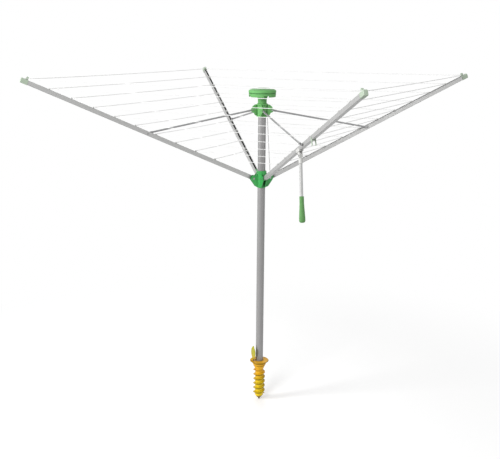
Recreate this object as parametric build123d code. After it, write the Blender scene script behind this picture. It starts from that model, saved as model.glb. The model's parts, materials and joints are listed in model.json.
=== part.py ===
from build123d import *
from math import atan2, cos, degrees, hypot, radians, sin
import os

# Whole object: millimetres and degrees, z = 0 at the ground, +Z up the mast
MAST_D = 50.0
MAST_WALL = 1.8
MAST_IN_CROWN = 11.0
FOOT_T = 6.0
FOOT_LENGTH = 46.0
SLIDE_GAP = 0.1
SEAT_GAP = 0.05

# Arms: pivot on the lower hub, rest tilt above level
ARM_AZIMUTH = {"front": -90.0, "right": 0.0, "back": 90.0, "left": 180.0}
ARM_PIVOT_R = 55.0
ARM_PIVOT_Z = 1275.0
ARM_TILT = 24.33
ARM_LENGTH = 1562.0
ARM_W = 22.0
ARM_H = 27.0
ARM_WALL = 1.8
ARM_CORNER = 3.5
ARM_START = 26.0
SLOT_W = 11.0
ROOT_W = 18.0
ROOT_R = 12.0
ROOT_GAP = 0.4
ROOT_PLUG = 46.0
FIT_GAP = 0.12

# Tip caps
CAP_LENGTH = 44.0
CAP_END = 6.0
CAP_WALL = 1.6
HOOK_INSET = 34.0
HOOK_H = 17.0
HOOK_LENGTH = 13.0

# Drying lines
LINE_COUNT = 10
LINE_FIRST = 290.0
LINE_D = 3.2
LINE_RISE = 4.0
LINE_MID_GAP = 0.6
GUIDE_W = 12.0
GUIDE_LENGTH = 8.0
GUIDE_H = 8.0
GUIDE_FOOT_W = 15.0
GUIDE_FOOT_H = 3.0

# Struts, running beside the arms
STRUT_PIVOT_R = 60.0
STRUT_PIVOT_Z = 1713.0
STRUT_AT = 753.0
STRUT_D = 11.0
STRUT_GAP = 0.2
TAB_T = 4.0
TAB_W = 13.0
TAB_LENGTH = 24.0
STRUT_PIN_D = 6.0
WASHER_D = 16.0
WASHER_T = 2.0
RIVET_D = 11.0
RIVET_H = 1.6

# Hubs
HUB_R = 33.0
HUB_BELOW = 62.0
HUB_ABOVE = 48.0
HUB_EAR_T = 6.0
HUB_EAR_R = 21.0
HUB_PIN_D = 8.0
TOP_HUB_R = 31.0
TOP_HUB_HALF = 42.0
TOP_EAR_T = 4.0
TOP_EAR_REACH = 68.0
CORD_AZIMUTH = -45.0
CORD_D = 4.0
CORD_TOP_R = 37.0
CORD_LOW_R = 62.0
LUG_Z = 1306.0

# Crown
CROWN_R = 88.0
CROWN_Z = 1797.0
CROWN_H = 57.0
CROWN_DOME = 20.0
CROWN_WALL = 4.0
CROWN_HOLLOW = 12.0
NECK_R = 28.0
NECK_TOP_R = 36.0
PLUG_T = 7.9
PLUG_DEPTH = 45.0

# Lever on the front arm
LEVER_AT = 672.0
LEVER_DROP = 38.0
LEVER_LENGTH = 381.0
LEVER_LEAN = 8.0
LEVER_ROD_D = 19.0
LEVER_EYE_W = 12.0
LEVER_EAR_R = 11.0
GRIP_LENGTH = 150.0
GRIP_R = 13.0
GRIP_END_R = 18.0
SADDLE_T = 2.0
CLIP_REACH = 213.0
CLIP_HALF = 6.0

# Ground anchor and its lid
FLANGE_R = 64.0
FLANGE_T = 4.0
COLLAR_R = 53.0
COLLAR_H = 10.0
NECK_RING_R = 47.0
NECK_RING_H = 11.0
GROOVE_W = 5.0
GROOVE_DEPTH = 5.0
FUNNEL_END = -62.0
MOUTH_CHAMFER = 1.5
CORE_R = 27.8
THREAD_R = 40.0
THREAD_PITCH = 33.0
THREAD_TURNS = 5.5
THREAD_BOTTOM = -248.0
ANCHOR_TIP = -285.0
SOCKET_DEPTH = 204.0
LID_R = 41.0
LID_T = 4.0
LID_RIM_H = 6.0
LID_RIM_T = 2.5
LID_PLUG_GAP = 0.6
LID_SEAT_GAP = 0.5
LID_LEAN = 2.0
LID_HINGE_X = -50.0
LID_HINGE_Z = 10.5
LID_PIN_D = 4.0

# Values that follow from the ones above
MAST_R = MAST_D / 2
MAST_BOTTOM = FOOT_T - SOCKET_DEPTH
MAST_TOP = CROWN_Z + MAST_IN_CROWN
MAST_FIT_R = MAST_R + SEAT_GAP
SOCKET_R = MAST_R + SLIDE_GAP
ARM_FRAME = Pos(ARM_PIVOT_R, 0, ARM_PIVOT_Z) * Rot(0, -ARM_TILT, 0)
TILT_COS = cos(radians(ARM_TILT))
TILT_SIN = sin(radians(ARM_TILT))
STRUT_END_R = ARM_PIVOT_R + STRUT_AT * TILT_COS
STRUT_END_Z = ARM_PIVOT_Z + STRUT_AT * TILT_SIN
STRUT_LENGTH = hypot(STRUT_END_R - STRUT_PIVOT_R, STRUT_END_Z - STRUT_PIVOT_Z)
STRUT_DROP = degrees(atan2(STRUT_PIVOT_Z - STRUT_END_Z, STRUT_END_R - STRUT_PIVOT_R))
STRUT_FRAME = Pos(STRUT_PIVOT_R, 0, STRUT_PIVOT_Z) * Rot(0, STRUT_DROP, 0)
LEVER_FRAME = ARM_FRAME * Pos(LEVER_AT, 0, -LEVER_DROP) * Rot(0, ARM_TILT - LEVER_LEAN, 0)
LID_FRAME = Pos(LID_HINGE_X, 0, LID_HINGE_Z) * Rot(0, LID_LEAN, 0)
LINE_V = ARM_H / 2 + LINE_RISE
LINE_PITCH = (ARM_LENGTH - HOOK_INSET - LINE_FIRST) / (LINE_COUNT - 1)
TAB_IN = -ARM_W / 2 - WASHER_T - STRUT_GAP
TAB_OUT = TAB_IN - TAB_T
STRUT_SIDE = TAB_IN - 0.3 - STRUT_D / 2
STANDING = (Align.CENTER, Align.CENTER, Align.MIN)


def save(name, shape):
    export_step(shape, f"parts/{name}.step")


def slab(face, y0, y1):
    """Solid between two planes across the radial plane."""
    return extrude(Plane.XZ.offset(-y1) * face, y1 - y0)


def across(radius, y0, y1, x=0.0, z=0.0):
    """Cylinder lying across the radial plane."""
    return slab(Pos(x, z) * Circle(radius), y0, y1)


def upright(radius, z0, z1):
    return Pos(0, 0, z0) * Cylinder(radius, z1 - z0, align=STANDING)


def rod_from(start, step, radius, length):
    return Plane(start, z_dir=step) * Cylinder(radius, length, align=STANDING)


def outline(points, rounding=0.0):
    face = make_face(Polyline(*points, close=True))
    return fillet(face.vertices(), rounding) if rounding else face


def turned(points):
    """Solid of revolution about the mast from (radius, height) points."""
    return revolve(Plane.XZ * outline(points), Axis.Z)


def block(x0, x1, y0, y1, z0, z1):
    return Pos((x0 + x1) / 2, (y0 + y1) / 2, (z0 + z1) / 2) * Box(x1 - x0, y1 - y0, z1 - z0)


def around(shape):
    """The same shape at each of the four arms."""
    return [Rot(0, 0, azimuth) * shape for azimuth in ARM_AZIMUTH.values()]


def group(shapes):
    return Compound([solid for shape in shapes for solid in shape.solids()])


# Ground anchor
def anchor_thread():
    path = Helix(pitch=THREAD_PITCH, height=THREAD_PITCH * THREAD_TURNS, radius=CORE_R)
    rise = THREAD_R - CORE_R
    fin = outline([(-2.2, -4.2), (rise, -1.2), (rise, 1.2), (-2.2, 4.2)])
    section = Plane(path @ 0, x_dir=(1, 0, 0), z_dir=path % 0) * fin
    return Pos(0, 0, THREAD_BOTTOM) * sweep(section, path=path, is_frenet=True)


def anchor_outside():
    ring = -COLLAR_H - GROOVE_W
    funnel = ring - NECK_RING_H - GROOVE_W
    return turned([
        (0, FLANGE_T), (FLANGE_R - 2, FLANGE_T), (FLANGE_R, FLANGE_T - 2), (FLANGE_R, 0),
        (COLLAR_R, 0), (COLLAR_R - 1, 2 - COLLAR_H), (COLLAR_R - 3, -COLLAR_H),
        (NECK_RING_R - GROOVE_DEPTH, -COLLAR_H), (NECK_RING_R - GROOVE_DEPTH, ring),
        (NECK_RING_R - 1, ring), (NECK_RING_R, ring - 2), (NECK_RING_R - 3, ring - NECK_RING_H),
        (NECK_RING_R - 3 - GROOVE_DEPTH, ring - NECK_RING_H), (NECK_RING_R - 3 - GROOVE_DEPTH, funnel),
        (NECK_RING_R - 6, funnel), (CORE_R + 4, FUNNEL_END + 10), (CORE_R, FUNNEL_END),
        (CORE_R, THREAD_BOTTOM - 5), (CORE_R - 7, ANCHOR_TIP + 22), (12, ANCHOR_TIP + 13),
        (7, ANCHOR_TIP + 10), (4, ANCHOR_TIP), (0, ANCHOR_TIP)])


def anchor_socket():
    return turned([
        (0, FLANGE_T), (SOCKET_R + MOUTH_CHAMFER, FLANGE_T), (SOCKET_R, FLANGE_T - MOUTH_CHAMFER),
        (SOCKET_R, -SOCKET_DEPTH), (0, -SOCKET_DEPTH)])


def ground_anchor():
    body = anchor_outside() + anchor_thread() - anchor_socket()
    low = FLANGE_T - LID_HINGE_Z
    knuckle = outline([(-6, low), (6, low), (4.5, 2), (2, 4.6), (-2, 4.6), (-4.5, 2)])
    for y in (-14.0, 8.0):
        body += Pos(LID_HINGE_X, 0, LID_HINGE_Z) * slab(knuckle, y, y + 6)
    return body - across(LID_PIN_D / 2 + SEAT_GAP, -20, 20, LID_HINGE_X, LID_HINGE_Z)


def anchor_lid():
    """Round lid standing open; its ring plugs the empty socket and its disc seats on the flange."""
    mid = -LID_HINGE_X
    under = LID_HINGE_Z - FLANGE_T - LID_SEAT_GAP
    plug = SOCKET_R - LID_PLUG_GAP
    face = Plane((under - LID_T, 0, mid), x_dir=(0, 1, 0), z_dir=(1, 0, 0))
    disc = chamfer(extrude(face * Circle(LID_R), LID_T).edges(), 1.2)
    rim = extrude(face.offset(LID_T) * (Circle(plug) - Circle(plug - LID_RIM_T)), LID_RIM_H)
    strap = block(0, under, -7.7, 7.7, 0, mid - LID_R + 6)
    lip = block(under - LID_T, under, -9, 9, mid + LID_R - 4, mid + LID_R + 6)
    lid = disc + rim + strap + lip + across(4.4, -7.7, 7.7)
    return LID_FRAME * (lid - across(LID_PIN_D / 2 + SLIDE_GAP, -20, 20))


def lid_pin():
    pin = across(LID_PIN_D / 2, -14.5, 14.5) + across(3.2, -15.6, -14.0) + across(3.2, 14.0, 15.6)
    return Pos(LID_HINGE_X, 0, LID_HINGE_Z) * pin


# Mast with the fixed upper hub
def mast_tube():
    bore = MAST_R - MAST_WALL
    return upright(MAST_R, MAST_BOTTOM, MAST_TOP) - upright(bore, MAST_BOTTOM, MAST_TOP)


def mast_foot():
    inner = MAST_R - MAST_WALL - FIT_GAP
    low = -SOCKET_DEPTH
    top = low + FOOT_LENGTH
    return turned([
        (0, low), (MAST_R - 3, low), (MAST_R, low + 3), (MAST_R, MAST_BOTTOM), (inner, MAST_BOTTOM),
        (inner, top), (inner - 3, top), (inner - 3, MAST_BOTTOM + 8), (0, MAST_BOTTOM + 8)])


def upper_hub():
    half = TOP_HUB_HALF
    reach = TOP_EAR_REACH
    body = turned([
        (MAST_FIT_R, half), (TOP_HUB_R + 2, half), (TOP_HUB_R + 6, half - 4), (TOP_HUB_R + 6, half - 9),
        (TOP_HUB_R, half - 12), (TOP_HUB_R, 10 - half), (TOP_HUB_R + 5, 7 - half), (TOP_HUB_R + 5, 2 - half),
        (TOP_HUB_R + 3, -half), (MAST_FIT_R, -half)])
    ear = outline([
        (MAST_R + 3, half - 5), (reach - 25, half - 7), (reach - 10, half - 18), (reach, 6), (reach, -6),
        (reach - 6, -14), (reach - 17, -17), (reach - 26, 9 - half), (MAST_R + 3, 4 - half)], 2.5)
    ear -= Pos(STRUT_PIVOT_R, 0) * Circle(STRUT_PIN_D / 2 + SEAT_GAP)
    inner = slab(ear, TAB_IN + 0.2, TAB_IN + 0.2 + TOP_EAR_T)
    outer = slab(ear, TAB_OUT - 0.2 - TOP_EAR_T, TAB_OUT - 0.2)
    web = outline([
        (MAST_R + 3, half - 8), (reach - 28, half - 10), (reach - 30, 12), (reach - 34, -20),
        (MAST_R + 3, 6 - half)])
    for piece in around(inner + outer + slab(web, TAB_OUT - 1, TAB_IN + 1)):
        body += piece
    return Pos(0, 0, STRUT_PIVOT_Z) * (body - upright(MAST_FIT_R, -2 * half, 2 * half))


def upper_hub_pins():
    y0 = TAB_OUT - 0.2 - TOP_EAR_T
    y1 = TAB_IN + 0.2 + TOP_EAR_T
    pin = across(STRUT_PIN_D / 2, y0 - 0.1, y1 + 0.1)
    pin += across(5, y0 - 1.8, y0 - 0.05) + across(5, y1 + 0.05, y1 + 1.8)
    return group(around(Pos(STRUT_PIVOT_R, 0, STRUT_PIVOT_Z) * pin))


def crown_neck():
    low = STRUT_PIVOT_Z + TOP_HUB_HALF
    top = CROWN_Z + CROWN_HOLLOW
    return turned([
        (MAST_FIT_R, low), (NECK_R, low), (NECK_R, low + 18), (NECK_R + 2, CROWN_Z - 10),
        (NECK_TOP_R, CROWN_Z + 6), (NECK_TOP_R, top), (MAST_FIT_R, top)])


def crown_cap():
    """Domed cover over a lower skirt, with a shadow groove between them."""
    base = CROWN_Z
    top = base + CROWN_H
    edge = top - CROWN_DOME
    seam = edge - 12
    steps = [radians(10 * i) for i in range(10)]
    dome = [(CROWN_R * sin(a), edge + CROWN_DOME * cos(a)) for a in steps]
    cap = turned(dome + [
        (CROWN_R, seam + 3), (CROWN_R - 2, seam), (CROWN_R - 6, seam),
        (CROWN_R - 6, seam - 3), (CROWN_R - 1, seam - 3), (CROWN_R - 3, base + 3), (CROWN_R - 4, base),
        (CROWN_R - 4 - CROWN_WALL, base), (CROWN_R - 5 - CROWN_WALL, base + CROWN_HOLLOW),
        (0, base + CROWN_HOLLOW)])
    notch = block(CROWN_R - 20, CROWN_R + 12, -16, 16, base - 1, base + CROWN_HOLLOW - 3)
    for cut in around(notch):
        cap -= cut
    return cap - upright(MAST_FIT_R, base, MAST_TOP + PLUG_T + 0.1)


def crown_plug():
    inner = MAST_R - MAST_WALL - FIT_GAP
    return upright(inner, MAST_TOP - PLUG_DEPTH, MAST_TOP) + upright(MAST_R - 1, MAST_TOP, MAST_TOP + PLUG_T)


# Sliding lower hub
def hub_ear():
    """Cheek beside an arm root: round at the pivot, running down to the foot of the hub."""
    r = HUB_EAR_R
    x = ARM_PIVOT_R
    cheek = outline([
        (MAST_R + 3, HUB_ABOVE - 12), (MAST_R + 10, r + 7), (x - 0.5 * r, 0.87 * r),
        (x + 0.25 * r, 0.95 * r), (x + 0.7 * r, 0.7 * r), (x + 0.97 * r, 0.2 * r), (x + 0.92 * r, -0.36 * r),
        (MAST_R + 17, 8 - HUB_BELOW), (MAST_R + 3, 3 - HUB_BELOW)], 2)
    return cheek - Pos(x, 0) * Circle(HUB_PIN_D / 2 + SEAT_GAP)


def lower_hub():
    body = turned([
        (MAST_R, HUB_ABOVE), (HUB_R - 3, HUB_ABOVE), (HUB_R, HUB_ABOVE - 4), (HUB_R, -20),
        (HUB_R - 2, 4 - HUB_BELOW), (HUB_R - 4, -HUB_BELOW), (MAST_R, -HUB_BELOW)])
    near = ROOT_W / 2 + ROOT_GAP
    pair = slab(hub_ear(), near, near + HUB_EAR_T) + slab(hub_ear(), -near - HUB_EAR_T, -near)
    for piece in around(pair):
        body += piece
    low = LUG_Z - ARM_PIVOT_Z
    lug = block(MAST_R + 3, CORD_LOW_R + 8, -5, 5, low - 14, low)
    body += Rot(0, 0, CORD_AZIMUTH) * fillet(lug.edges().filter_by(Axis.Y).sort_by(Axis.X)[-2:], 5)
    return Pos(0, 0, ARM_PIVOT_Z) * (body - upright(SOCKET_R, -2 * HUB_BELOW, 2 * HUB_ABOVE))


def lower_hub_pins():
    far = ROOT_W / 2 + ROOT_GAP + HUB_EAR_T
    pin = across(HUB_PIN_D / 2, -far - 0.1, far + 0.1)
    pin += across(6.5, far + 0.05, far + 2.2) + across(6.5, -far - 2.2, -far - 0.05)
    return group(around(Pos(ARM_PIVOT_R, 0, ARM_PIVOT_Z) * pin))


def draw_cord():
    out = Vector(cos(radians(CORD_AZIMUTH)), sin(radians(CORD_AZIMUTH)), 0)
    high = STRUT_PIVOT_Z - TOP_HUB_HALF
    top = out * CORD_TOP_R + Vector(0, 0, high)
    low = out * CORD_LOW_R + Vector(0, 0, LUG_Z)
    step = (top - low).normalized()
    cord = rod_from(low - step * CORD_D, step, CORD_D / 2, (top - low).length + 2 * CORD_D)
    return cord & upright(2 * CORD_LOW_R, LUG_Z, high)


# Arms, drawn along their own axis from the pivot
def arm_profile():
    inner_w = ARM_W - 2 * ARM_WALL
    inner_h = ARM_H - 2 * ARM_WALL
    section = RectangleRounded(ARM_W, ARM_H, ARM_CORNER)
    section -= RectangleRounded(inner_w, inner_h, ARM_CORNER - ARM_WALL)
    section -= Pos(0, ARM_H / 2) * Rectangle(SLOT_W, 4 * ARM_WALL)
    return extrude(Plane.YZ.offset(ARM_START) * section, ARM_LENGTH - CAP_END - ARM_START)


def arm_root():
    plug_w = ARM_W - 2 * ARM_WALL - 2 * FIT_GAP
    plug_h = ARM_H - 2 * ARM_WALL - 2 * FIT_GAP
    eye = slab(Circle(ROOT_R), -ROOT_W / 2, ROOT_W / 2)
    tongue = block(0, ARM_START, -ROOT_W / 2, ROOT_W / 2, -ROOT_R, ROOT_R)
    plug = extrude(Plane.YZ.offset(ARM_START - 0.5) * RectangleRounded(plug_w, plug_h, 2), ROOT_PLUG)
    return eye + tongue + plug - across(HUB_PIN_D / 2 + 0.1, -ROOT_W, ROOT_W)


def tip_cap():
    hold_w = ARM_W + 2 * FIT_GAP
    hold_h = ARM_H + 2 * FIT_GAP
    start = ARM_LENGTH - CAP_LENGTH
    shell = RectangleRounded(hold_w + 2 * CAP_WALL, hold_h + 2 * CAP_WALL, ARM_CORNER + CAP_WALL)
    bore = RectangleRounded(hold_w, hold_h, ARM_CORNER)
    cap = extrude(Plane.YZ.offset(start) * shell, CAP_LENGTH)
    cap = fillet(cap.faces().sort_by(Axis.X)[-1].edges(), 4)
    cap -= extrude(Plane.YZ.offset(start) * bore, CAP_LENGTH - CAP_END)
    roof = ARM_H / 2 + CAP_WALL
    mid = ARM_LENGTH - HOOK_INSET
    half = HOOK_LENGTH / 2
    peg = outline([
        (mid - half, roof - 1), (mid + half + 4, roof - 1), (mid + half, roof + HOOK_H - 4),
        (mid + half - 2, roof + HOOK_H), (mid - half + 1, roof + HOOK_H), (mid - half, roof + 6)])
    return cap + slab(peg, -GUIDE_W / 2, GUIDE_W / 2)


def line_guides():
    roof = ARM_H / 2
    under = roof - ARM_WALL - FIT_GAP
    half = SLOT_W / 2 - FIT_GAP
    stem = Pos(0, (under + roof) / 2 - 0.5) * Rectangle(2 * half, roof - under + 2)
    foot = Pos(0, under - GUIDE_FOOT_H / 2) * Rectangle(GUIDE_FOOT_W, GUIDE_FOOT_H)
    bead = Pos(0, roof + SEAT_GAP + GUIDE_H / 2) * RectangleRounded(GUIDE_W, GUIDE_H, 2.5)
    section = stem + foot + bead
    guides = []
    for i in range(LINE_COUNT - 1):
        start = LINE_FIRST + LINE_PITCH * i - GUIDE_LENGTH / 2
        guides.append(extrude(Plane.YZ.offset(start) * section, GUIDE_LENGTH))
    return group(guides)


def half_lines(side):
    """Half of each line on one side of an arm, from its guide to mid-span."""
    lines = []
    trim = block(0, 2 * ARM_LENGTH, -GUIDE_W / 2, GUIDE_W / 2, 0, 2 * MAST_TOP)
    for i in range(LINE_COUNT):
        u = LINE_FIRST + LINE_PITCH * i
        reach = ARM_PIVOT_R + u * TILT_COS - LINE_V * TILT_SIN
        height = ARM_PIVOT_Z + u * TILT_SIN + LINE_V * TILT_COS
        start = Vector(reach, side * GUIDE_W / 2, height)
        middle = Vector(reach / 2, side * reach / 2, height)
        step = (middle - start).normalized()
        length = (middle - start).length - LINE_MID_GAP / 2
        lines.append(rod_from(start - step * LINE_D, step, LINE_D / 2, length + LINE_D) - trim)
    return group(lines)


def strut_washer():
    """Spacer washer with its rivet through the arm, where the strut is pinned."""
    shaft = across(STRUT_PIN_D / 2, -ARM_W / 2, ARM_W / 2, STRUT_AT)
    washer = across(WASHER_D / 2, -ARM_W / 2 - WASHER_T, -ARM_W / 2, STRUT_AT)
    head = across(RIVET_D / 2, ARM_W / 2, ARM_W / 2 + RIVET_H, STRUT_AT)
    return shaft + washer + head


# Struts, drawn along their own axis from the upper hub
def strut():
    middle = (TAB_IN + TAB_OUT) / 2
    start = Vector(TAB_LENGTH, STRUT_SIDE, 0)
    body = rod_from(start, Vector(1, 0, 0), STRUT_D / 2, STRUT_LENGTH - 2 * TAB_LENGTH)
    for x, sign in ((0.0, 1.0), (STRUT_LENGTH, -1.0)):
        far = x + sign * (TAB_LENGTH + 8)
        tab = Pos((x + far) / 2, 0) * Rectangle(abs(far - x), TAB_W) + Pos(x, 0) * Circle(TAB_W / 2)
        body += slab(tab, TAB_OUT, TAB_IN)
        near = x + sign * (TAB_LENGTH - 6)
        crush = Pos((near + far) / 2, 0) * Rectangle(abs(far - near), STRUT_D - 1)
        body += slab(crush, STRUT_SIDE - 3, middle)
    return body - across(STRUT_PIN_D / 2 + 0.1, TAB_OUT - 10, TAB_IN + 10)


def strut_rivet():
    return across(RIVET_D / 2, TAB_OUT - RIVET_H, TAB_OUT, STRUT_LENGTH)


# Lever on the front arm
def saddle(half_length):
    """Thin saddle gripping the arm from below."""
    low = -ARM_H / 2
    half = ARM_W / 2
    body = block(-half_length, half_length, -half - SADDLE_T, half + SADDLE_T, low - 3, low)
    for y in (-half - SADDLE_T, half):
        body += block(-half_length, half_length, y, y + SADDLE_T, low - 3, 2)
    return body


def lever_bracket():
    low = -ARM_H / 2 - 3
    ear = Pos(0, (low - LEVER_DROP) / 2) * Rectangle(2 * LEVER_EAR_R, LEVER_DROP + low)
    ear += Pos(0, -LEVER_DROP) * Circle(LEVER_EAR_R)
    ear -= Pos(0, -LEVER_DROP) * Circle(STRUT_PIN_D / 2 + 0.05)
    near = LEVER_EYE_W / 2 + 0.3
    body = saddle(24) + slab(ear, near, near + 4) + slab(ear, -near - 4, -near)
    return Pos(LEVER_AT, 0, 0) * body


def lever_pin():
    far = LEVER_EYE_W / 2 + 4.3
    pin = across(STRUT_PIN_D / 2, -far - 0.1, far + 0.1)
    pin += across(5, far + 0.05, far + 1.8) + across(5, -far - 1.8, -far - 0.05)
    return Pos(LEVER_AT, 0, -LEVER_DROP) * pin


def lever_clip():
    low = -ARM_H / 2 - 3
    inner = LEVER_ROD_D / 2 + 0.4
    body = saddle(CLIP_HALF)
    for y in (-inner - 2.6, inner):
        body += block(-CLIP_HALF, CLIP_HALF, y, y + 2.6, -LEVER_DROP - 7, low)
    return Pos(LEVER_AT + CLIP_REACH, 0, 0) * body


def lever_knuckle():
    eye = across(9, -LEVER_EYE_W / 2, LEVER_EYE_W / 2)
    neck = block(-8, 8, -LEVER_EYE_W / 2, LEVER_EYE_W / 2, -16, 0)
    socket = upright(LEVER_ROD_D / 2 + 2.5, -44, -14)
    bore = upright(LEVER_ROD_D / 2 + 0.05, -60, -19)
    return eye + neck + socket - bore - across(STRUT_PIN_D / 2 + 0.1, -20, 20)


def lever_rod():
    rod = upright(LEVER_ROD_D / 2, -LEVER_LENGTH + 25, -19.1)
    return rod - upright(LEVER_ROD_D / 2 - 1.5, -LEVER_LENGTH, 0)


def lever_grip():
    top = GRIP_LENGTH - LEVER_LENGTH
    end = -LEVER_LENGTH
    seat = end + 24.9
    hold = LEVER_ROD_D / 2 + SEAT_GAP
    return turned([
        (hold, top), (GRIP_R - 1, top), (GRIP_R, top - 2), (GRIP_R, top - 40), (GRIP_END_R, end + 26),
        (GRIP_END_R, end + 10), (GRIP_END_R - 4, end + 2.5), (GRIP_END_R - 10, end), (0, end),
        (0, seat), (hold, seat)])


def save_shared():
    shared = {
        "ground_anchor": ground_anchor, "anchor_lid": anchor_lid, "lid_pin": lid_pin,
        "mast_tube": mast_tube, "mast_foot": mast_foot, "upper_hub": upper_hub,
        "upper_hub_pins": upper_hub_pins, "crown_neck": crown_neck, "crown_cap": crown_cap,
        "crown_plug": crown_plug, "lower_hub": lower_hub, "lower_hub_pins": lower_hub_pins,
        "draw_cord": draw_cord,
    }
    for name, make in shared.items():
        save(name, make())


def save_arms():
    on_arm = {
        "arm_profile": arm_profile(), "arm_root": arm_root(), "tip_cap": tip_cap(),
        "line_guides": line_guides(), "strut_washer": strut_washer(),
    }
    hole = across(STRUT_PIN_D / 2 + 0.05, -ARM_W, ARM_W, STRUT_AT)
    on_arm["arm_profile"] -= hole
    lines = {"lines_near": half_lines(-1), "lines_far": half_lines(1)}
    bars = {"strut": strut(), "strut_rivet": strut_rivet()}
    for arm, azimuth in ARM_AZIMUTH.items():
        turn = Rot(0, 0, azimuth)
        for name, shape in on_arm.items():
            save(f"{name}_{arm}", turn * ARM_FRAME * shape)
        for name, shape in lines.items():
            save(f"{name}_{arm}", turn * shape)
        for name, shape in bars.items():
            save(f"{name}_{arm}", turn * STRUT_FRAME * shape)


def save_lever():
    turn = Rot(0, 0, ARM_AZIMUTH["front"])
    on_arm = {"lever_bracket": lever_bracket, "lever_pin": lever_pin, "lever_clip": lever_clip}
    swinging = {"lever_knuckle": lever_knuckle, "lever_rod": lever_rod, "lever_grip": lever_grip}
    for name, make in on_arm.items():
        save(name, turn * ARM_FRAME * make())
    for name, make in swinging.items():
        save(name, turn * LEVER_FRAME * make())


os.makedirs("parts", exist_ok=True)
save_shared()
save_arms()
save_lever()
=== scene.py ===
import json
import math

import bpy
from mathutils import Matrix, Vector


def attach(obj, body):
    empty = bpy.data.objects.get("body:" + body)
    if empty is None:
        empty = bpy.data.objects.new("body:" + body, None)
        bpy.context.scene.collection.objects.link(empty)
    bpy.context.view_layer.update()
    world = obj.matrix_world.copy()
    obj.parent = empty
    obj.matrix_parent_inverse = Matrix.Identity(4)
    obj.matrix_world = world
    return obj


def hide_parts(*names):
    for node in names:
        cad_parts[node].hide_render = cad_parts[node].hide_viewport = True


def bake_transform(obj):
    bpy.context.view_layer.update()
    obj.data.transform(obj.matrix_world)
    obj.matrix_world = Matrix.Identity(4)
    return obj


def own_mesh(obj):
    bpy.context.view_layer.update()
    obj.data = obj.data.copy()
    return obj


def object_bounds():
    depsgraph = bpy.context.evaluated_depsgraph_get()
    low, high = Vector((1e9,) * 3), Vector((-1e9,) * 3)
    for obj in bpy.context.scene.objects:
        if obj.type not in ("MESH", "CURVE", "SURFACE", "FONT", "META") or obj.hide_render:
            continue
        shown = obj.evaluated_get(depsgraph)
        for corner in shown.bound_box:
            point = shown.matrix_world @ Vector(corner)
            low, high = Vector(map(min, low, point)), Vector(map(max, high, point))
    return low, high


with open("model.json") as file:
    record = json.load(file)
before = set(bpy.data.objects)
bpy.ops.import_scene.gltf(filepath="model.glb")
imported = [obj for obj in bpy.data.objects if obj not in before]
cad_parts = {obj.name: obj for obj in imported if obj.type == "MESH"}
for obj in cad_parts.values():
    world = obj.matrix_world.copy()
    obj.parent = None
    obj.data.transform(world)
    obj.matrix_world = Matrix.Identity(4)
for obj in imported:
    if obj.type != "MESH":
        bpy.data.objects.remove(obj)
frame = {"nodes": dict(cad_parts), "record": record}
cad_low, cad_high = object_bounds()

# Camera, in metres and degrees round the mast
CAMERA_AZIMUTH = -18.649
CAMERA_DISTANCE = 5.0333
CAMERA_HEIGHT = 2.1497
CAMERA_PAN = 1.569
CAMERA_PITCH = 13.652
CAMERA_ROLL = 0.3
CAMERA_LENS = 56.296
CAMERA_SHIFT_X = 0.02

# Arms, as in the solids: the pivot and directions of an arm that points along +X
ARMS = {"front": -90.0, "right": 0.0, "back": 90.0, "left": 180.0}
ARM_TILT = math.radians(24.33)
ARM_PIVOT = Vector((0.055, 0, 1.275))
ARM_ALONG = Vector((math.cos(ARM_TILT), 0, math.sin(ARM_TILT)))
ARM_UP = Vector((-math.sin(ARM_TILT), 0, math.cos(ARM_TILT)))
ARM_W = 0.022
ARM_H = 0.027
ARM_WALL = 0.0018

# Drying lines
LINE_COUNT = 10
LINE_FIRST = 0.290
LINE_PITCH = 0.1375556
LINE_RADIUS = 0.0016
LINE_RISE = 0.004
LINE_LIFT = ARM_H / 2 + LINE_RISE
LINE_SAG = 0.004
LINE_SIDES = 8
LINE_STEPS = 16
GUIDE_HALF = 0.006
HOOK_BACK = 0.0117
HOOK_SIDE = 0.0081
HOOK_SQUARE = 0.3

# Draw cord between the hubs, its ends as radius and height
CORD_AZIMUTH = -45.0
CORD_RADIUS = 0.002
CORD_TOP = (0.037, 1.671)
CORD_LOW = (0.062, 1.306)
CORD_SIDES = 10
CORD_STEPS = 40

# Faces of a made mesh that meet at more than this stay crisp
SHARP_FROM = math.radians(60.0)

# Surface detail: noise scales, relief as strength and depth, radii of softened edges
NOISE_ROUGH = 0.55
MOTTLE_SCALE = 38.0
GRAIN_SCALE = 1400.0
CLOUD_SCALE = 9.0
PATCH_SCALE = 110.0
WEAR_SCALE = 14.0
GRAIN_RELIEF = (0.10, 0.0004)
STREAK_RELIEF = (0.06, 0.0003)
RIB_RELIEF = (0.25, 0.0005)
MOULD_EDGE = 0.0012
METAL_EDGE = 0.0008
METAL_ROUGH = 0.38
# How far the painted shade in metal's hollows reaches
METAL_HOLLOW = 0.02
ALONG_MAST = (900, 900, 6)
ALONG_ARM = (6, 900, 900)

# Wear along edges: how far a rounded edge turns from its faces, as a cosine
EDGE_FLAT = 0.985
EDGE_SHARP = 0.90
EDGE_WEAR = 0.0018

# Levels where a look changes: along an arm, up the crown and lid, on the ground screw
# Painted shade on an arm's root end by the hub: full up to the first distance, gone by the second
ARM_ROOT_SHADE_FULL = 0.027
ARM_ROOT_SHADE_END = 0.046
# Painted shade: the crown darker towards its top, between these heights
CROWN_TOP_SHADE = (1.838, 1.850)
# The lid turns golden towards its bottom, between these heights
LID_LOW_TONE = (0.060, 0.010)
THREAD_PITCH = 0.033
THREAD_BOTTOM = -0.248
FUNNEL_Z = -0.062
SCREW_GOLD = (-0.15, -0.07)
SCREW_TIP = (-0.250, -0.276)
CREST_RADII = (0.0350, 0.0395)
RIM_RADII = (0.0575, 0.0630)
# Painted shade on the thread's crests, on the flange's rim and in the grooves, as shares of the dark
# colours
CREST_SHADE = 0.55
RIM_SHADE = 0.6
GROOVE_SHADE = 0.75
# How far the painted shade in the screw's hollows reaches
SCREW_HOLLOW = 0.03

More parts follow.
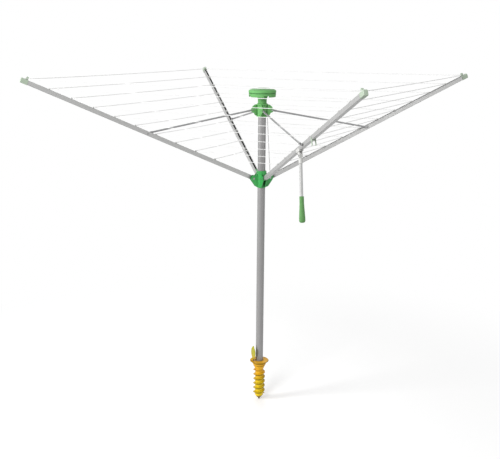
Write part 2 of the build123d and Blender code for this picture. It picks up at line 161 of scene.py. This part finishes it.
# Studio
FLOOR_HALF = 40.0
FLOOR_DROP = 0.001
FLOOR_SHADOW_FROM = 0.6
FLOOR_SHADOW_TO = 3.0
FLOOR_NEAR_GLOW = 0.16
FLOOR_BOUNCE = 0.20
SKY_LIGHT = 0.42

# Lamps: place, what they point at, size and power
LAMP_AIM = (0, 0, 1.3)
LAMPS = {
    "key": ((-4.0, -4.5, 5.0), LAMP_AIM, 3.0, 240),
    "side": ((-5.5, 0.0, 2.4), LAMP_AIM, 2.0, 190),
    "rim": ((1.0, 5.0, 4.5), LAMP_AIM, 3.0, 75),
    "front": ((3.6, -5.6, 1.0), (0.75, 0.0, 1.6), 1.5, 34),
}


def srgb(red, green, blue):
    """Linear colour from 0-255 screen values."""
    def linear(value):
        value /= 255.0
        return value / 12.92 if value <= 0.04045 else ((value + 0.055) / 1.055) ** 2.4
    return (linear(red), linear(green), linear(blue), 1.0)


def shade(colour, factor):
    return tuple(min(1.0, channel * factor) for channel in colour[:3]) + (1.0,)


BLACK = (0.0, 0.0, 0.0, 1.0)
WHITE = (1.0, 1.0, 1.0, 1.0)
FLOOR_WHITE = (0.95, 0.95, 0.95, 1.0)
# Painted unlit black inside an arm's slot
SLOT_SHADE = srgb(16, 16, 17)
ARM_GREY = srgb(180, 180, 179)


def facing(azimuth):
    """Turn about the mast, from +X."""
    return Matrix.Rotation(math.radians(azimuth), 3, "Z")


# Materials
class Shader:
    """Small helper round one node material."""

    def __init__(self, name):
        self.material = bpy.data.materials.new(name)
        self.material.use_nodes = True
        self.tree = self.material.node_tree
        self.bsdf = self.tree.nodes["Principled BSDF"]
        self.coords = self.add("ShaderNodeTexCoord").outputs["Object"]

    def add(self, kind, **values):
        node = self.tree.nodes.new(kind)
        for key, value in values.items():
            setattr(node, key, value)
        return node

    def link(self, source, target):
        self.tree.links.new(source, target)

    def feed(self, source, label):
        """Links an output to an input of the surface shader."""
        self.link(source, self.bsdf.inputs[label])

    def set(self, **values):
        for key, value in values.items():
            self.bsdf.inputs[key.replace("_", " ")].default_value = value

    def noise(self, vector, scale, detail=4.0):
        node = self.add("ShaderNodeTexNoise")
        node.inputs["Scale"].default_value = scale
        node.inputs["Detail"].default_value = detail
        node.inputs["Roughness"].default_value = NOISE_ROUGH
        self.link(vector, node.inputs["Vector"])
        return node.outputs["Fac"]

    def streaks(self, vector, stretch):
        """Noise drawn out along the axis with the smallest stretch."""
        scale = self.add("ShaderNodeMapping")
        scale.inputs["Scale"].default_value = stretch
        self.link(vector, scale.inputs["Vector"])
        return self.noise(scale.outputs["Vector"], 1.0, detail=3.0)

    def ramp(self, factor, low, high, start=0.3, end=0.7):
        node = self.add("ShaderNodeValToRGB")
        node.color_ramp.elements[0].position = start
        node.color_ramp.elements[0].color = low
        node.color_ramp.elements[1].position = end
        node.color_ramp.elements[1].color = high
        self.link(factor, node.inputs["Fac"])
        return node.outputs["Color"]

    def span(self, factor, low, high):
        """The low value at 0, the high one at 1."""
        node = self.add("ShaderNodeMapRange")
        node.inputs["To Min"].default_value = low
        node.inputs["To Max"].default_value = high
        self.link(factor, node.inputs["Value"])
        return node.outputs["Result"]

    def between(self, value, low, high):
        """0 below the low value, 1 above the high one."""
        node = self.add("ShaderNodeMapRange")
        node.inputs["From Min"].default_value = low
        node.inputs["From Max"].default_value = high
        self.link(value, node.inputs["Value"])
        return node.outputs["Result"]

    def axes(self, vector):
        split = self.add("ShaderNodeSeparateXYZ")
        self.link(vector, split.inputs["Vector"])
        return split.outputs["X"], split.outputs["Y"], split.outputs["Z"]

    def height(self, low, high):
        """0 at the low level, 1 at the high one."""
        return self.between(self.axes(self.coords)[2], low, high)

    def reach(self):
        """Distance from the mast's axis."""
        x, y, _ = self.axes(self.coords)
        squares = self.calc("ADD", self.calc("MULTIPLY", x, x), self.calc("MULTIPLY", y, y))
        return self.calc("SQRT", squares)

    def calc(self, operation, first, second=0.0):
        node = self.add("ShaderNodeMath", operation=operation)
        self.link(first, node.inputs[0])
        if isinstance(second, float):
            node.inputs[1].default_value = second
        else:
            self.link(second, node.inputs[1])
        return node.outputs[0]

    def mix(self, factor, first, second):
        node = self.add("ShaderNodeMix", data_type="RGBA")
        self.link(factor, node.inputs["Factor"])
        for socket, value in (("A", first), ("B", second)):
            if isinstance(value, tuple):
                node.inputs[socket].default_value = value
            else:
                self.link(value, node.inputs[socket])
        return node.outputs["Result"]

    def painted_hollow_shade(self, colour, dark, reach):
        """Painted shade where a surface is closed in."""
        hollow = self.add("ShaderNodeAmbientOcclusion", samples=8)
        hollow.inputs["Distance"].default_value = reach
        return self.mix(self.ramp(hollow.outputs["AO"], BLACK, WHITE, 0.25, 0.8), dark, colour)

    def rounded(self, edge):
        """Normals as if every edge had a small radius."""
        node = self.add("ShaderNodeBevel", samples=6)
        node.inputs["Radius"].default_value = edge
        return node.outputs["Normal"]

    def rubbed(self, colour, pale):
        """Colour worn paler in patches along the edges."""
        match = self.add("ShaderNodeVectorMath", operation="DOT_PRODUCT")
        self.link(self.rounded(EDGE_WEAR), match.inputs[0])
        self.link(self.add("ShaderNodeNewGeometry").outputs["Normal"], match.inputs[1])
        bare = self.between(match.outputs["Value"], EDGE_FLAT, EDGE_SHARP)
        patchy = self.span(self.noise(self.coords, PATCH_SCALE), 0.1, 0.9)
        return self.mix(self.calc("MULTIPLY", bare, patchy), colour, pale)

    def relief(self, height, depth, edge=0.0):
        """Bump of a strength and depth, over softened edges where a radius is given."""
        bump = self.add("ShaderNodeBump")
        bump.inputs["Strength"].default_value, bump.inputs["Distance"].default_value = depth
        self.link(height, bump.inputs["Height"])
        if edge:
            self.link(self.rounded(edge), bump.inputs["Normal"])
        self.feed(bump.outputs["Normal"], "Normal")


def moulded_skin(s, mottle, rough, gloss):
    """Fine grain and uneven gloss of moulded plastic."""
    s.feed(s.span(mottle, rough - 0.06, rough + 0.08), "Roughness")
    s.relief(s.noise(s.coords, GRAIN_SCALE, detail=2.0), GRAIN_RELIEF, MOULD_EDGE)
    s.set(Specular_IOR_Level=gloss)


def plastic(name, colour, rough=0.42, dark=None, gloss=0.45, reach=0.016, tone_by_height=None):
    """Moulded plastic: faint mottling, worn edges, painted shade in the hollows, another tone between
    two levels.
    """
    s = Shader(name)
    mottle = s.noise(s.coords, MOTTLE_SCALE)
    tone = s.ramp(mottle, shade(colour, 0.93), shade(colour, 1.05))
    if tone_by_height:
        levels, height_tone = tone_by_height
        tone = s.mix(s.height(*levels), tone, height_tone)
    tone = s.rubbed(tone, shade(colour, 1.35))
    s.feed(s.painted_hollow_shade(tone, dark or shade(colour, 0.45), reach), "Base Color")
    moulded_skin(s, mottle, rough, gloss)
    return s.material


def thread_shade(s):
    """1 in the groove under each turn of the ground screw, 0 elsewhere: where the thread gets painted
    shade.
    """
    x, y, z = s.axes(s.coords)
    turn = s.calc("DIVIDE", s.calc("ARCTAN2", y, x), 2 * math.pi)
    level = s.calc("DIVIDE", s.calc("SUBTRACT", z, THREAD_BOTTOM), THREAD_PITCH)
    phase = s.calc("FRACT", s.calc("SUBTRACT", level, turn))
    under = s.ramp(phase, BLACK, WHITE, 0.45, 0.92)
    return s.calc("MULTIPLY", under, s.height(FUNNEL_Z + 0.01, FUNNEL_Z - 0.01))


def screw_shade_and_tip(s):
    """1 on the dark tip of the ground screw, less on its crests and on the flange's rim, where it
    stands for painted shade.
    """
    away = s.reach()
    crest = s.calc("MULTIPLY", s.between(away, *CREST_RADII), s.height(FUNNEL_Z + 0.005, FUNNEL_Z))
    rim = s.calc("MULTIPLY", s.between(away, *RIM_RADII), RIM_SHADE)
    edges = s.calc("MAXIMUM", s.calc("MULTIPLY", crest, CREST_SHADE), rim)
    return s.calc("MAXIMUM", edges, s.height(*SCREW_TIP))


def screw_plastic(name, collar, thread, dark, edge_shade_and_tip):
    """Ground screw: golden collar, yellow thread, brown painted shade in the grooves and hollows,
    painted shade on the crests and the flange's rim, a dark tip.
    """
    s = Shader(name)
    mottle = s.noise(s.coords, MOTTLE_SCALE)
    low = s.ramp(mottle, shade(thread, 0.86), shade(thread, 1.04))
    high = s.ramp(mottle, shade(collar, 0.88), shade(collar, 1.05))
    tone = s.mix(s.height(*SCREW_GOLD), low, high)
    # Painted shade in the grooves
    tone = s.mix(s.calc("MULTIPLY", thread_shade(s), GROOVE_SHADE), tone, dark)
    # Painted shade on the crests and the flange's rim, and the dark tip
    tone = s.mix(screw_shade_and_tip(s), s.rubbed(tone, shade(thread, 1.25)), edge_shade_and_tip)
    s.feed(s.painted_hollow_shade(tone, dark, SCREW_HOLLOW), "Base Color")
    moulded_skin(s, mottle, 0.45, 0.2)
    return s.material


def drawn_skin(s, streak, metallic):
    """Cloudy oxide and fine streaks of drawn metal."""
    cloud = s.noise(s.coords, CLOUD_SCALE)
    s.feed(s.span(cloud, METAL_ROUGH - 0.05, METAL_ROUGH + 0.09), "Roughness")
    s.relief(streak, STREAK_RELIEF, METAL_EDGE)
    s.set(Metallic=metallic)


def metal(name, colour, stretch=(120, 120, 120), metallic=0.45, hollow_shade_level=0.25):
    """Drawn aluminium or steel: streaks along the piece, worn edges, painted shade in the hollows."""
    s = Shader(name)
    streak = s.streaks(s.coords, stretch)
    tone = s.ramp(streak, shade(colour, 0.90), shade(colour, 1.08))
    tone = s.rubbed(tone, shade(colour, 1.3))
    s.feed(s.painted_hollow_shade(tone, shade(colour, hollow_shade_level), METAL_HOLLOW), "Base Color")
    drawn_skin(s, streak, metallic)
    return s.material


def arm_inside(s, local):
    """1 on the inside of an arm's hollow profile, 0 on its outside: where the slot's painted shade
    goes.
    """
    across, upward = s.axes(local)[1:]
    in_width = s.calc("LESS_THAN", s.calc("ABSOLUTE", across), (ARM_W - ARM_WALL) / 2)
    in_height = s.calc("LESS_THAN", s.calc("ABSOLUTE", upward), (ARM_H - ARM_WALL) / 2)
    return s.calc("MULTIPLY", in_width, in_height)


def arm_metal(name, colour, azimuth):
    """Extruded arm: streaks along its own axis, painted shade in the hollows and on the root end by
    the hub, painted unlit black inside the slot.
    """
    s = Shader(name)
    tilt = Matrix.Rotation(ARM_TILT, 3, "Y")
    along = s.add("ShaderNodeMapping")
    along.inputs["Rotation"].default_value = (tilt @ facing(-azimuth)).to_euler("XYZ")
    along.inputs["Location"].default_value = -(tilt @ ARM_PIVOT)
    s.link(s.coords, along.inputs["Vector"])
    local = along.outputs["Vector"]
    streak = s.streaks(local, ALONG_ARM)
    tone = s.ramp(streak, shade(colour, 0.92), shade(colour, 1.07))
    tone = s.rubbed(tone, shade(colour, 1.3))
    tone = s.painted_hollow_shade(tone, shade(colour, 0.3), METAL_HOLLOW)
    # Painted shade on the root end by the hub
    tone = s.mix(s.between(s.axes(local)[0], ARM_ROOT_SHADE_FULL, ARM_ROOT_SHADE_END), shade(colour, 0.3), tone)
    # Painted unlit black shade inside the slot
    s.feed(s.mix(arm_inside(s, local), tone, SLOT_SHADE), "Base Color")
    drawn_skin(s, streak, 0.45)
    return s.material


def cordage(name, colour, pitch, rough=0.6):
    """Twisted or coated line: fine ribs and a little wear."""
    s = Shader(name)
    ribs = s.noise(s.coords, pitch, detail=2.0)
    wear = s.noise(s.coords, WEAR_SCALE)
    s.feed(s.ramp(wear, shade(colour, 0.92), shade(colour, 1.04)), "Base Color")
    s.feed(s.span(ribs, rough - 0.08, rough + 0.08), "Roughness")
    s.relief(ribs, RIB_RELIEF)
    return s.material


# In each look the dark colour is painted shade in the hollows
LOOKS = {
    # Painted shade in the mast's hollows, at three quarters of its colour
    "mast_metal": metal("mast_metal", srgb(148, 147, 147), ALONG_MAST, metallic=0.25, hollow_shade_level=0.75),
    "strut_metal": metal("strut_metal", srgb(150, 150, 151)),
    "rivet_steel": metal("rivet_steel", srgb(150, 150, 150), stretch=(400, 400, 400), metallic=0.9),
    "hub_green": plastic(
        "hub_green", srgb(60, 171, 85), rough=0.30, dark=srgb(8, 72, 30), reach=0.022),
    # Painted shade on the crown's top and in its hollows
    "crown_green": plastic(
        "crown_green", srgb(114, 182, 108), rough=0.55, dark=srgb(32, 104, 46), gloss=0.2, reach=0.024,
        tone_by_height=(CROWN_TOP_SHADE, srgb(84, 138, 80))),
    "grip_green": plastic("grip_green", srgb(102, 154, 92), rough=0.45, gloss=0.2),
    "cap_grey": plastic("cap_grey", srgb(176, 192, 172), dark=srgb(84, 104, 82)),
    "white_plastic": plastic("white_plastic", srgb(214, 214, 211)),
    "black_plastic": plastic("black_plastic", srgb(34, 34, 35)),
    # The darkest colour is painted shade on the crests and rim, and the colour of the tip
    "anchor_yellow": screw_plastic(
        "anchor_yellow", collar=srgb(230, 172, 34), thread=srgb(232, 200, 32), dark=srgb(104, 70, 8),
        edge_shade_and_tip=srgb(58, 52, 18)),
    # The lid turns golden towards its bottom
    "lid_yellow": plastic(
        "lid_yellow", srgb(168, 163, 8), dark=srgb(84, 88, 10), gloss=0.15,
        tone_by_height=(LID_LOW_TONE, srgb(196, 156, 34))),
    "line_white": cordage("line_white", srgb(242, 242, 241), 2600.0, rough=0.5),
    "cord_grey": cordage("cord_grey", srgb(176, 176, 176), 1500.0),
}
ARM_LOOKS = {arm: arm_metal(f"arm_metal_{arm}", ARM_GREY, azimuth) for arm, azimuth in ARMS.items()}
LOOKS["arm_metal"] = metal("lever_metal", ARM_GREY, ALONG_MAST)


def look_for(node, slot):
    """An arm profile has streaks along its own axis; every other node has its slot's look."""
    if node.startswith("arm_profile_"):
        return ARM_LOOKS[node.removeprefix("arm_profile_")]
    return LOOKS[slot]


def paint(thing, material):
    thing.data.materials.clear()
    thing.data.materials.append(material)


def dress_nodes():
    for part in frame["record"]["subparts"]:
        paint(frame["nodes"][part["node"]], look_for(part["node"], part["material_slot"]))


# Meshes
def tube(points, radius, sides, verts, faces):
    """Adds a round tube along the points, closed at both ends."""
    start = len(verts)
    final = len(points) - 1
    for i, point in enumerate(points):
        along = (points[min(i + 1, final)] - points[max(i - 1, 0)]).normalized()
        side = along.cross(Vector((0, 0, 1)))
        side = side.normalized() if side.length > 1e-6 else Vector((1, 0, 0))
        over = side.cross(along).normalized()
        for k in range(sides):
            angle = 2 * math.pi * k / sides
            verts.append(point + radius * (math.cos(angle) * side + math.sin(angle) * over))
    for i in range(final):
        for k in range(sides):
            a = start + i * sides + k
            b = start + i * sides + (k + 1) % sides
            faces.append((a, a + sides, b + sides, b))
    last = start + final * sides
    faces.append(tuple(start + k for k in range(sides)))
    faces.append(tuple(last + k for k in reversed(range(sides))))


def mesh_piece(name, verts, faces, material):
    """Smooth mesh object with crisp edges round flat ends."""
    mesh = bpy.data.meshes.new(name)
    mesh.from_pydata(verts, [], faces)
    mesh.validate()
    mesh.shade_smooth()
    mesh.set_sharp_from_angle(angle=SHARP_FROM)
    piece = bpy.data.objects.new(name, mesh)
    bpy.context.scene.collection.objects.link(piece)
    paint(piece, material)
    return piece


def over_arm(along):
    """Where a line crosses an arm that points along +X."""
    return ARM_PIVOT + ARM_ALONG * along + ARM_UP * LINE_LIFT


def half_line(turn, index, side):
    """Points of one half line from its guide to mid-span, with a little sag."""
    held = over_arm(LINE_FIRST + LINE_PITCH * index)
    start = Vector((held.x, side * GUIDE_HALF, held.z))
    middle = Vector((held.x / 2, side * held.x / 2, held.z))
    sag = LINE_SAG * (middle - start).length
    points = []
    for i in range(LINE_STEPS + 1):
        t = i / LINE_STEPS
        points.append(turn @ (start.lerp(middle, t) - Vector((0, 0, sag * t * (2 - t)))))
    return points


def lines_on_arm(arm, azimuth, side, label):
    """All half lines on one side of an arm, carried on the arm's body."""
    turn = facing(azimuth)
    verts, faces = [], []
    for index in range(LINE_COUNT):
        tube(half_line(turn, index, side), LINE_RADIUS, LINE_SIDES, verts, faces)
    piece = mesh_piece(f"drying_{label}_{arm}", verts, faces, LOOKS["line_white"])
    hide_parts(f"{label}_{arm}")
    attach(piece, f"{arm}_arm")
    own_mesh(piece)


def hook_turn(arm, azimuth):
    """The outermost line's bend round the hook on a tip cap."""
    turn = facing(azimuth)
    centre = over_arm(LINE_FIRST + LINE_PITCH * (LINE_COUNT - 1))
    points = []
    for i in range(LINE_STEPS + 1):
        angle = math.pi * (i / LINE_STEPS - 0.5)
        back = HOOK_BACK * abs(math.cos(angle)) ** HOOK_SQUARE
        sway = math.copysign(HOOK_SIDE * abs(math.sin(angle)) ** HOOK_SQUARE, math.sin(angle))
        points.append(turn @ (centre + ARM_ALONG * back + Vector((0, sway, 0))))
    verts, faces = [], []
    tube(points, LINE_RADIUS, LINE_SIDES, verts, faces)
    piece = mesh_piece(f"hook_turn_{arm}", verts, faces, LOOKS["line_white"])
    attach(piece, f"{arm}_arm")


def draw_cord():
    """Cord from the upper hub to the sliding one."""
    turn = facing(CORD_AZIMUTH)
    top = turn @ Vector((CORD_TOP[0], 0, CORD_TOP[1]))
    low = turn @ Vector((CORD_LOW[0], 0, CORD_LOW[1]))
    points = [top.lerp(low, i / CORD_STEPS) for i in range(CORD_STEPS + 1)]
    verts, faces = [], []
    tube(points, CORD_RADIUS, CORD_SIDES, verts, faces)
    piece = mesh_piece("hub_draw_cord", verts, faces, LOOKS["cord_grey"])
    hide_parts("draw_cord")
    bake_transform(piece)


# Stage, light and camera
def shown_ray(tree):
    """1 for rays that show the background: seen directly, mirrored or through glass."""
    path = tree.nodes.new("ShaderNodeLightPath")
    total = path.outputs["Is Camera Ray"]
    for label in ("Is Glossy Ray", "Is Transmission Ray"):
        larger = tree.nodes.new("ShaderNodeMath")
        larger.operation = "MAXIMUM"
        tree.links.new(total, larger.inputs[0])
        tree.links.new(path.outputs[label], larger.inputs[1])
        total = larger.outputs[0]
    return total


def backdrop_material():
    """White floor that takes the shadow near the mast and glows evenly farther out."""
    s = Shader("pale_floor")
    away = s.add("ShaderNodeMapRange", interpolation_type="SMOOTHSTEP")
    away.inputs["From Min"].default_value = FLOOR_SHADOW_FROM
    away.inputs["From Max"].default_value = FLOOR_SHADOW_TO
    s.link(s.reach(), away.inputs["Value"])
    far = away.outputs["Result"]
    s.feed(s.mix(far, FLOOR_WHITE, BLACK), "Base Color")
    level = s.span(shown_ray(s.tree), FLOOR_BOUNCE, 1.0)
    s.feed(s.calc("MULTIPLY", s.span(far, FLOOR_NEAR_GLOW, 1.0), level), "Emission Strength")
    s.set(Emission_Color=WHITE, Roughness=0.9, Specular_IOR_Level=0.0)
    return s.material


def stage_floor():
    half = FLOOR_HALF
    level = cad_low.z - FLOOR_DROP
    corners = [(-half, -half, level), (half, -half, level), (half, half, level), (-half, half, level)]
    floor = mesh_piece("studio_floor", corners, [(0, 1, 2, 3)], backdrop_material())


def soft_lamp(name, place, target, size, power):
    data = bpy.data.lights.new(name, "AREA")
    data.shape = "DISK"
    data.size = size
    data.energy = power
    lamp = bpy.data.objects.new(name, data)
    lamp.location = place
    lamp.rotation_euler = (Vector(target) - Vector(place)).to_track_quat("-Z", "Y").to_euler()
    bpy.context.scene.collection.objects.link(lamp)


def light_studio():
    world = bpy.data.worlds.new("studio")
    world.use_nodes = True
    tree = world.node_tree
    sky = tree.nodes["Background"]
    sky.inputs["Color"].default_value = WHITE
    level = tree.nodes.new("ShaderNodeMapRange")
    level.inputs["To Min"].default_value = SKY_LIGHT
    level.inputs["To Max"].default_value = 1.0
    tree.links.new(shown_ray(tree), level.inputs["Value"])
    tree.links.new(level.outputs["Result"], sky.inputs["Strength"])
    bpy.context.scene.world = world
    for name, setting in LAMPS.items():
        soft_lamp(name, *setting)


def place_camera():
    data = bpy.data.cameras.new("photo_view")
    data.lens = CAMERA_LENS
    data.shift_x = CAMERA_SHIFT_X
    camera = bpy.data.objects.new("photo_view", data)
    camera.location = facing(CAMERA_AZIMUTH) @ Vector((0, -CAMERA_DISTANCE, CAMERA_HEIGHT))
    pitch = Matrix.Rotation(math.radians(90 - CAMERA_PITCH), 3, "X")
    roll = Matrix.Rotation(math.radians(CAMERA_ROLL), 3, "Z")
    camera.rotation_euler = (facing(CAMERA_AZIMUTH + CAMERA_PAN) @ pitch @ roll).to_euler()
    bpy.context.scene.collection.objects.link(camera)
    bpy.context.scene.camera = camera


bpy.context.scene.view_settings.view_transform = "Standard"
dress_nodes()
for arm_name, arm_azimuth in ARMS.items():
    lines_on_arm(arm_name, arm_azimuth, -1, "lines_near")
    lines_on_arm(arm_name, arm_azimuth, 1, "lines_far")
    hook_turn(arm_name, arm_azimuth)
draw_cord()
stage_floor()
light_studio()
place_camera()
